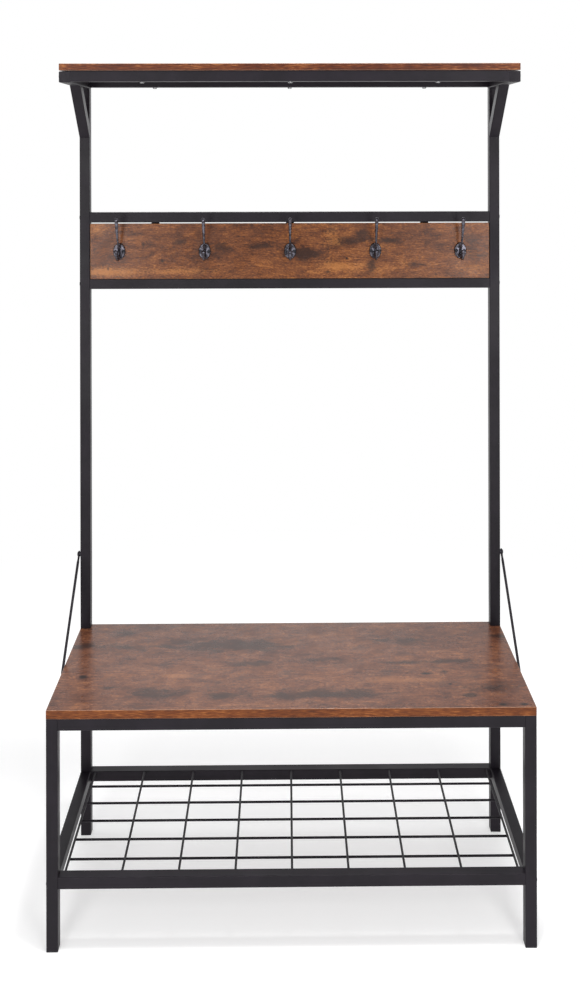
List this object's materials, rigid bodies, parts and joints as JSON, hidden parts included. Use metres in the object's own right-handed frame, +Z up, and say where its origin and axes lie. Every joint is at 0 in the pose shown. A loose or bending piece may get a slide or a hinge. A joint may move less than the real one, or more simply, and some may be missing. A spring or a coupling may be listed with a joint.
{
  "type": "hall tree bench",
  "caption": "Entryway bench with a wire shoe shelf below, a coat rack board with double hooks and a top shelf above, in black square steel tube and rustic brown board.",
  "frame": {"origin": "on the floor, at the middle of the outline", "axes": "+Z up, -Y towards the person who sits down, +X to the right seen from the front"},
  "size_m": [1.0174, 0.4, 1.817],
  "materials": {
    "black_steel": "satin powder coat, charcoal black",
    "seat_laminate": "rustic brown laminate, semi-gloss",
    "shelf_laminate": "rustic brown laminate, semi-gloss",
    "rack_laminate": "rustic brown laminate, satin",
    "black_plastic": "moulded, fine grain",
    "hook_iron": "dark gunmetal, satin",
    "dark_screw": "blackened, satin",
    "bright_screw": "zinc plated, bright",
    "bare_steel": "plain steel"
  },
  "bodies": {
    "root": {"board_inserts": "bare_steel", "coat_hook_1": "hook_iron", "coat_hook_2": "hook_iron", "coat_hook_3": "hook_iron", "coat_hook_4": "hook_iron", "coat_hook_5": "hook_iron", "coat_hook_screws": "dark_screw", "foot_cap_front_left": "black_plastic", "foot_cap_front_right": "black_plastic", "foot_cap_rear_left": "black_plastic", "foot_cap_rear_right": "black_plastic", "frame_bolts": "dark_screw", "front_leg_left": "black_steel", "front_leg_right": "black_steel", "leg_top_plates": "bare_steel", "rack_board": "rack_laminate", "rack_board_screws": "bright_screw", "rack_board_tabs": "black_steel", "rack_rail_lower": "black_steel", "rack_rail_upper": "black_steel", "rail_end_plates": "bare_steel", "rear_leg_left": "black_steel", "rear_leg_right": "black_steel", "seat_board": "seat_laminate", "seat_board_screws": "bright_screw", "seat_cross_rail": "black_steel", "seat_rail_front": "black_steel", "seat_rail_left": "black_steel", "seat_rail_rear": "black_steel", "seat_rail_right": "black_steel", "shelf_brace_left": "black_steel", "shelf_brace_right": "black_steel", "shelf_rail_front": "black_steel", "shelf_rail_left": "black_steel", "shelf_rail_rear": "black_steel", "shelf_rail_right": "black_steel", "shelf_wires_front_to_back": "black_steel", "shelf_wires_side_to_side": "black_steel", "side_stay_left": "black_steel", "side_stay_right": "black_steel", "side_stay_screws": "dark_screw", "side_stay_spacers": "dark_screw", "top_rail_caps": "black_plastic", "top_rail_front": "black_steel", "top_rail_left": "black_steel", "top_rail_rear": "black_steel", "top_rail_right": "black_steel", "top_shelf_board": "shelf_laminate", "top_shelf_screws": "bright_screw", "upright_base_plates": "bare_steel", "upright_left": "black_steel", "upright_right": "black_steel", "upright_studs": "bare_steel"}
  },
  "joints": []
}
